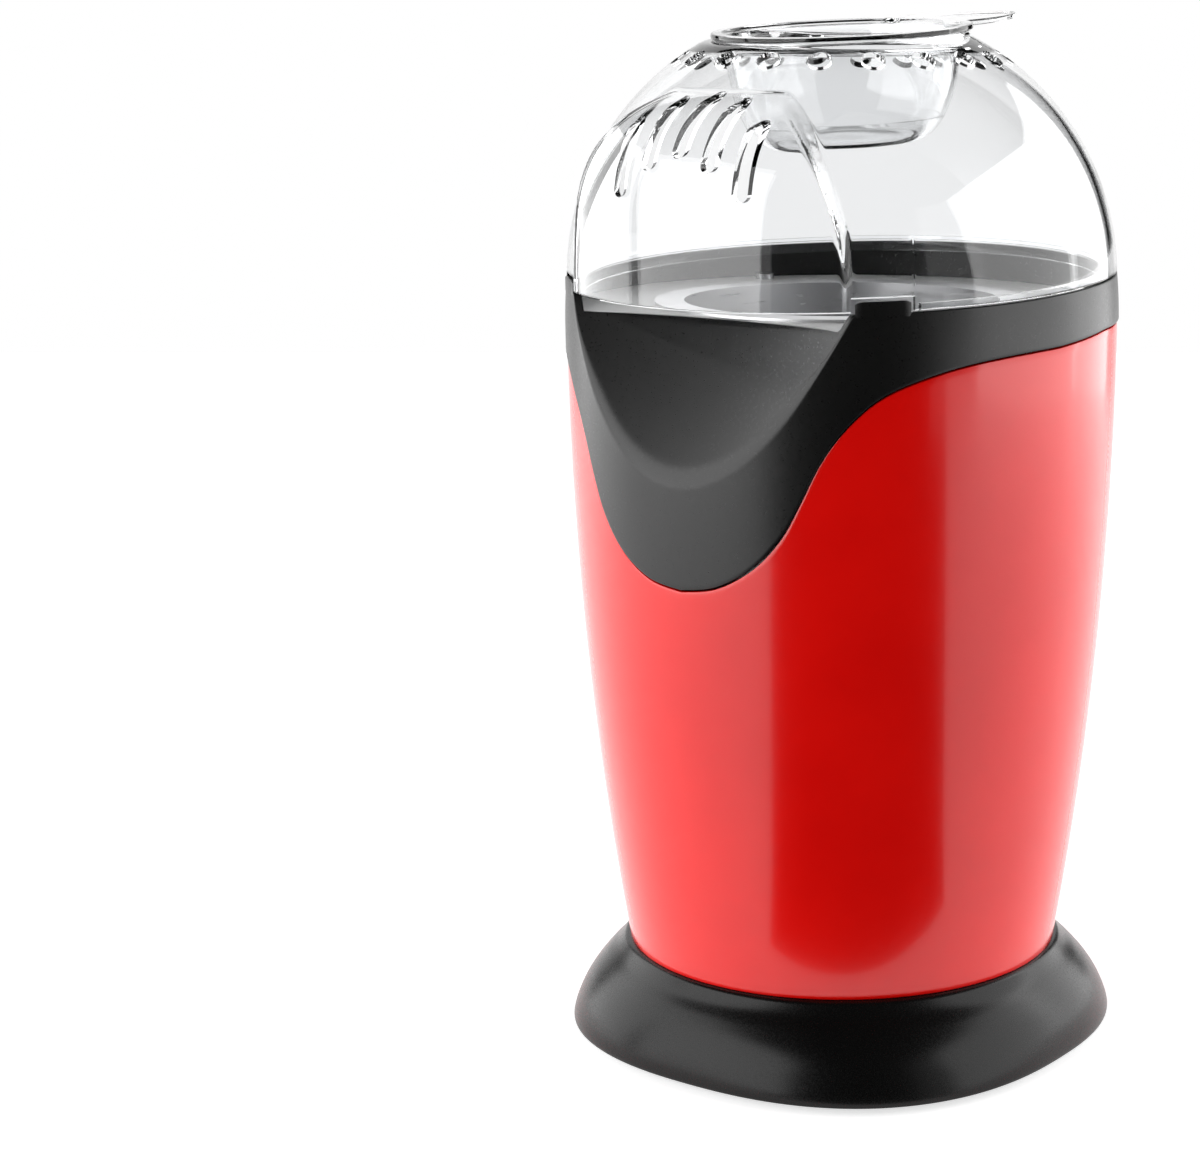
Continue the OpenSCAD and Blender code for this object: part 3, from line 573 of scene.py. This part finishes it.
def hood():
    a = list(np.arange(-44, 44.01, 0.4))
    extra = [s * q for s in (-1, 1) for q in (36.1, 36.16, 48.45, 48.51)]
    a = sorted(set(np.round(a + extra + list(np.arange(44.8, 52, 0.8)) + list(-np.arange(44.8, 52, 0.8)), 3)))
    rest = list(np.linspace(max(a), 360 + min(a), 125)[1:-1])
    deg = np.array(a + rest)
    psi = np.radians(deg)
    aa = np.abs((deg + 180) % 360 - 180)
    m = len(psi)
    base = RIM_Z - RIM_T * 80 * np.cos(psi) + 0.35
    notch = (aa > 36.13) & (aa < 48.48)
    base = base + np.where(notch, 3.7, 0)
    rows = []

    def put(R, z):
        rows.append(np.stack([R * np.sin(psi), -R * np.cos(psi), z + 0 * psi], -1))

    def side(d, z):
        th = np.arcsin(np.clip((z - DOME_Z) / (DOME_ARC - d), 0, 1))
        Rd = (80.5 - DOME_ARC) + (DOME_ARC - d) * np.cos(th)
        return hood_R(Rd, z, psi, d)

    def side_rows(d, zs, th_end, n, flip):
        out = []
        arc = DOME_ARC - d
        t0 = (zs - DOME_Z) / arc
        for k in np.linspace(0, 1, n):
            th = t0 + (th_end - t0) * k
            z = DOME_Z + arc * np.where(th > 0, np.sin(np.maximum(th, 0)), th)
            out.append((side(d, z), z))
        return out[::-1] if flip else out

    th_o = math.acos((45.5 - 2.7) / DOME_ARC)
    th_i = math.acos((44.0 - 2.7) / (DOME_ARC - HOOD_W))
    # outer face
    put(side(0, base + 0.3) - 0.3, base)
    for R, z in side_rows(0, base + 0.3, th_o, 118, False):
        put(R, z)

    def dome_z(R, d=0.0):
        return DOME_Z + np.sqrt((DOME_ARC - d) ** 2 - (R - 2.7) ** 2)

    one = np.ones(m)
    for R in (44.8, 44.0, 43.0, 42.0, 41.0, 40.0, 39.2, 38.4, 37.8):
        s = seat(R, psi)
        d = dome_z(R)
        k = 0.8
        h = np.clip(0.5 + 0.5 * (s - d) / k, 0, 1)
        put(R * one, s * (1 - h) + d * h - k * h * (1 - h))
    z37 = np.minimum(seat(37.3, psi), dome_z(37.3)) - 0.05
    put(37.25 * one, z37 + 0.02)
    put(37.0 * one, np.minimum(z37 + 0.3, seat(37.0, psi) - 0.02))
    put(37.0 * one, np.maximum(seat(37.0, psi) - 0.35, z37 + 0.0))
    put(36.85 * one, seat(36.9, psi) - 0.1)
    put(36.6 * one, seat(36.6, psi))
    put(35.3 * one, seat(35.3, psi))
    put(35.0 * one, seat(35.0, psi) - 0.1)
    put(34.9 * one, seat(34.9, psi) - 0.4)
    put(34.9 * one, 293.3 * one)
    put(35.2 * one, 293.0 * one)
    for R in (36.0, 37.5, 39.0, 40.5, 41.8, 42.8, 43.5):
        zi = DOME_Z + math.sqrt((DOME_ARC - HOOD_W) ** 2 - (R - 2.7) ** 2)
        k = 1.2
        h = min(max(0.5 + 0.5 * (zi - 293.0) / k, 0), 1)
        put(R * one, (zi * (1 - h) + 293.0 * h - k * h * (1 - h)) * one)
    for R, z in side_rows(HOOD_W, base + 0.25, th_i, 104, True):
        put(R, z)
    put(side(HOOD_W, base + 0.25) + 0.25, base)
    g = np.array(rows)
    v, f = g.reshape(-1, 3), grid_faces(len(rows), m, True, True)
    o = build("clear_hood_shell", v, f, 40, material=M_CLEAR)
    # round vents and the visor's slots
    cutters = []
    for i in range(20):
        b = 2 * math.pi * (i + 0.5) / 20
        t = np.linspace(0, 2 * math.pi, 28, endpoint=False)
        ang = math.radians(35)
        vv = []
        for h in (-9, 9):
            for q in t:
                p = np.array([3.4 * math.cos(q), 3.4 * math.sin(q), h])
                x = 46.5 + p[0] * math.cos(ang) + p[2] * math.sin(ang)
                z = 291 - p[0] * math.sin(ang) + p[2] * math.cos(ang)
                vv.append((x * math.cos(b) - p[1] * math.sin(b), x * math.sin(b) + p[1] * math.cos(b), z))
        n = len(t)
        ff = [tuple(range(n)), tuple(range(2 * n - 1, n - 1, -1))] + [(j, (j + 1) % n, n + (j + 1) % n, n + j) for j in range(n)]
        cutters.append((np.array(vv), ff))
    for x, z0, z1 in ((0, 266, 282), (10.2, 262.5, 280.5), (-10.2, 262.5, 280.5), (20.4, 255, 275.5), (-20.4, 255, 275.5)):
        r = 2.25
        pts = [(x + r * math.cos(q), z0 + r + r * math.sin(q)) for q in np.linspace(math.pi, 2 * math.pi, 11)]
        pts += [(x + r * math.cos(q), z1 - r + r * math.sin(q)) for q in np.linspace(0, math.pi, 11)]
        cutters.append(prism(pts, -100, -40))
    cut(o, cutters)
    shade(o.data, 40)
    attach(o, "hood")
    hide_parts("dome_hood")
    # locating lip, open at the front
    a = np.radians(np.linspace(50, 310, 131))
    loops = []
    for p in a:
        b = RIM_Z - RIM_T * 78 * math.cos(p)
        loops.append([(R * math.sin(p), -R * math.cos(p), b + z) for R, z in ((76.1, -2.6), (76.4, -2.9), (77.0, -2.9), (77.3, -2.6), (77.3, 0.4), (78.4, 0.4), (78.4, 1.9), (76.1, 1.9))])
    n = 8
    v = np.array([q for l in loops for q in l])
    f = grid_faces(len(loops), n, True, False) + [tuple(range(n)), tuple(range((len(loops) - 1) * n, len(loops) * n))[::-1]]
    lip = build("hood_lip", v, f, 40, material=M_CLEAR)
    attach(lip, "hood")
    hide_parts("dome_hood")
    return o


# --- measuring cup ----------------------------------------------------------
CUP_D, RING_R, REACH, HANDLE = 31.0, 38.0, 69.0, 76.0


def leaf_R(phi):
    """How far the ring's outline reaches at each bearing from the handle's middle."""
    out = np.full(len(phi), RING_R)
    xs = np.linspace(30, REACH, 1500)
    t = np.clip((xs - 34.5) / (REACH - 34.5), 0, 1)
    hs = 17.5 * (1 - t ** 2.2) ** 0.75
    ang, rad = np.arctan2(hs, xs), np.hypot(xs, hs)
    order = np.argsort(ang)
    r = np.interp(np.abs(phi), ang[order], rad[order], right=0.0)
    r = np.where(np.abs(phi) > ang.max(), 0, r)
    k = 3.0
    h = np.clip(0.5 + 0.5 * (r - out) / k, 0, 1)
    return out * (1 - h) + r * h + k * h * (1 - h) * 0.35


def cup():
    deg = np.concatenate([np.arange(-40, 40, 0.5), np.linspace(40, 320, 140, endpoint=False)])
    phi = np.radians(deg)
    rel = np.radians((deg + 180) % 360 - 180)
    Ro = leaf_R(rel)
    ext = np.clip((Ro - RING_R) / (REACH - RING_R), 0, 1)
    lateral = np.abs(np.sin(rel)) * Ro
    wall = spline([(21.5, -CUP_D), (25.4, -CUP_D + 2.2), (29.4, -CUP_D + 7.4), (32.2, -CUP_D + 14.5), (33.8, -CUP_D + 23), (34.2, -0.6)], 7)
    rows = []

    def put(R, z):
        R = R + 0 * phi
        rows.append(np.stack([R * np.cos(phi), R * np.sin(phi), z + 0 * phi], -1))

    def rise(R):
        """The handle's lift towards its tip, which is zero everywhere; the dish along its middle is added apart, in
        cup.
        """
        t = np.clip((R - RING_R) / (REACH - RING_R), 0, 1)
        return 0.0 * t

    # outside, from the middle of the bottom
    for R in (0.02, 8, 15, 19.5):
        put(R, -CUP_D + 0.25 * (R < 19))
    for R, z in wall[1:]:
        put(R, z)
    put(34.4, -0.15)
    put(34.9, 0.0)
    for t in np.linspace(0, 1, 16)[1:]:
        R = 35.2 + (Ro - 0.5 - 35.2) * t
        put(R, rise(R) + 0.15 * np.clip((R - RING_R) / 20, 0, 1))
    edge = 1.7 - 0.25 * ext
    put(Ro - 0.12, rise(Ro) + 0.25)
    put(Ro, rise(Ro) + edge * 0.5)
    put(Ro - 0.12, rise(Ro) + edge - 0.2)
    put(Ro - 0.5, rise(Ro) + edge)
    rim_in = 1.1
    dish = 0.55 * smooth(0.02, 0.25, ext)
    for t in np.linspace(0, 1, 18)[1:]:
        R = (Ro - 0.5) + (35.4 - Ro + 0.5) * t
        inside = smooth(0.3, 2.4, Ro - R) * smooth(37.5, 41, R)
        put(R, rise(R) + edge + (1.7 - edge) * t - dish * inside)
    put(35.0, 1.62)
    put(34.6, 1.3)
    put(33.4, 0.6)
    for R, z in wall[::-1][1:-1]:
        put(max(R - 1.7, 0.1), z + 0.9 if z < -24 else z)
    for R in (20.0, 16, 10, 4, 0.02):
        put(R, -CUP_D + 1.7)
    g = np.array(rows)
    v = g.reshape(-1, 3)
    a = math.radians(HANDLE)
    x, y = v[:, 0] * math.cos(a) - v[:, 1] * math.sin(a), v[:, 0] * math.sin(a) + v[:, 1] * math.cos(a)
    z = v[:, 2]
    c, s = math.cos(math.radians(4)), math.sin(math.radians(4))
    v = np.stack([x, y * c - z * s, y * s + z * c + SEAT_Z + 0.3], -1)
    f = grid_faces(len(rows), len(phi), True, False)
    n, m = len(rows), len(phi)
    f += [tuple(range(m)), tuple(range((n - 1) * m, n * m))[::-1]]
    o = build("clear_measuring_cup", v, f, 40, body="cup", material=M_CUP)
    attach(o, "cup")
    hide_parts("measuring_cup")
    return o


base_skirt()
body_shell()
collar()
hood()
cup()

# the CAD pieces that show keep their shape, with softened edges
for n in ("switch_housing", "switch_rocker", "rubber_feet", "cord_gland", "popping_chamber", "top_deck"):
    o = nodes[n]
    b = o.modifiers.new("soft_edges", "BEVEL")
    b.width = 0.00035 if n != "popping_chamber" else 0.0001
    b.segments = 2
    b.limit_method = "ANGLE"
    b.angle_limit = math.radians(40)
    b.harden_normals = False

# ---------------------------------------------------------------- the stage
def stage_mesh(name, verts, faces, mat, smooth_it=False):
    me = bpy.data.meshes.new(name)
    me.from_pydata(verts, [], faces)
    me.polygons.foreach_set("use_smooth", [smooth_it] * len(me.polygons))
    o = bpy.data.objects.new(name, me)
    scene.collection.objects.link(o)
    me.materials.append(mat)
    return o


CAM_AZ = math.radians(34.5)
RIGHT = Vector((math.cos(CAM_AZ), math.sin(CAM_AZ), 0))
TOWARD = Vector((math.sin(CAM_AZ), -math.cos(CAM_AZ), 0))

m_floor, nt, p = new_mat("floor_white")
p.inputs["Base Color"].default_value = (0.9, 0.9, 0.9, 1)
p.inputs["Roughness"].default_value = 0.6
p.inputs["Specular IOR Level"].default_value = 0.15
p.inputs["Emission Color"].default_value = (1, 1, 1, 1)
p.inputs["Emission Strength"].default_value = 0.66

# the white table stops in front of the object, which so mirrors a dark room there
plan = [(-5, -5), (5, -5), (5, 0.112), (0.10, 0.112), (-0.06, 0.112), (-5, 0.112), (-2.66, 5), (-5, 5), (4.4, 5), (5, 5)]
fv = []
for right, toward in plan:
    q = RIGHT * right + TOWARD * toward
    fv.append((q.x, q.y, 0.0))
stage_mesh("floor", fv, [(0, 1, 2, 3, 4, 5), (5, 4, 6, 7), (3, 2, 9, 8)], m_floor)

m_back, nt, p = new_mat("backdrop_white")
p.inputs["Base Color"].default_value = (0.0, 0.0, 0.0, 1)
p.inputs["Roughness"].default_value = 1.0
p.inputs["Specular IOR Level"].default_value = 0.0
p.inputs["Emission Color"].default_value = (1, 1, 1, 1)
p.inputs["Emission Strength"].default_value = 1.0
back = []
for t in np.linspace(0, 1, 25):
    ang = math.pi / 2 * t
    back.append((1.6 + 0.6 * math.sin(ang), 0.0 + 0.6 * (1 - math.cos(ang))))
back.append((2.2, 1.9))
bv = []
for side in (-1.5, 0.85):
    for away, up in back:
        q = RIGHT * side - TOWARD * away
        bv.append((q.x, q.y, up + 0.0005))
nb = len(back)
stage_mesh("backdrop", bv, [(i, i + 1, nb + i + 1, nb + i) for i in range(nb - 1)], m_back, True)

world = bpy.data.worlds.new("studio")
scene.world = world
world.use_nodes = True
bg = world.node_tree.nodes["Background"]
bg.inputs["Color"].default_value = (1, 1, 1, 1)
bg.inputs["Strength"].default_value = 0.02


def softbox(name, azimuth, distance, up, w, h, radiance, aim=0.16):
    """A lit panel at a bearing from the camera's side, right of it positive."""
    light = bpy.data.lights.new(name, "AREA")
    light.shape = "RECTANGLE"
    light.size, light.size_y = w, h
    light.energy = radiance * math.pi * w * h
    o = bpy.data.objects.new(name, light)
    scene.collection.objects.link(o)
    az = math.radians(azimuth)
    o.location = (RIGHT * math.sin(az) + TOWARD * math.cos(az)) * distance + Vector((0, 0, up))
    o.rotation_euler = (Vector((0, 0, aim)) - o.location).to_track_quat("-Z", "Y").to_euler()
    return o


softbox("box_left", -60, 1.1, 0.42, 1.25, 0.95, 2.9)
softbox("box_left_back", -114, 1.2, 0.42, 0.95, 0.95, 2.6)
softbox("box_right", 82, 1.1, 0.46, 1.25, 1.05, 2.3)
softbox("box_right_back", 124, 1.2, 0.46, 0.8, 1.05, 2.6)
softbox("box_right_faint", 46, 1.15, 0.42, 0.5, 0.95, 0.4)

cam_data = bpy.data.cameras.new("camera")
cam = bpy.data.objects.new("camera", cam_data)
scene.collection.objects.link(cam)
cam.location = TOWARD * 0.8 + Vector((0, 0, 0.308))
cam.rotation_euler = (math.radians(90 - 11.96), 0, CAM_AZ)
cam_data.sensor_width = 36.0
cam_data.lens = 81.6
cam_data.shift_x = -0.2017
cam_data.clip_start, cam_data.clip_end = 0.01, 50
scene.camera = cam
scene.view_settings.view_transform = "Standard"
